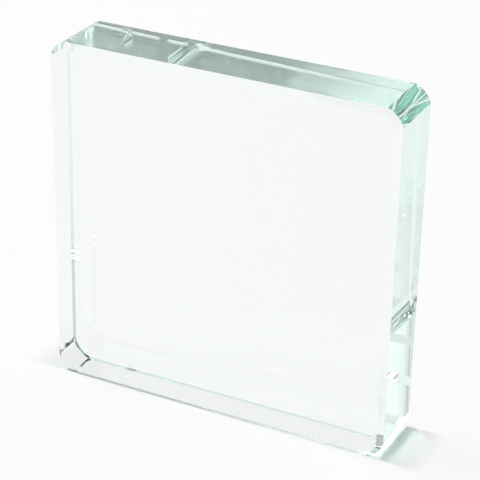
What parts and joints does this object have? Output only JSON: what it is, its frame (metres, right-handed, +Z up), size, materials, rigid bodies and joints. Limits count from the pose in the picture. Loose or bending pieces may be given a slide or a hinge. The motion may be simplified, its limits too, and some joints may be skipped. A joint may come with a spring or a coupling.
{
  "type": "solid glass block",
  "caption": "Solid clear glass block with a square polished face, rounded corners and bevelled rims, standing on its edge.",
  "frame": {"origin": "middle of the lower edge face, which the block stands on", "axes": "+X across the face to the right, +Y through the thickness towards the back, +Z up"},
  "size_m": [0.19, 0.04, 0.19],
  "materials": {
    "clear_glass": "polished"
  },
  "bodies": {
    "root": {"glass_block": "clear_glass"}
  },
  "joints": []
}
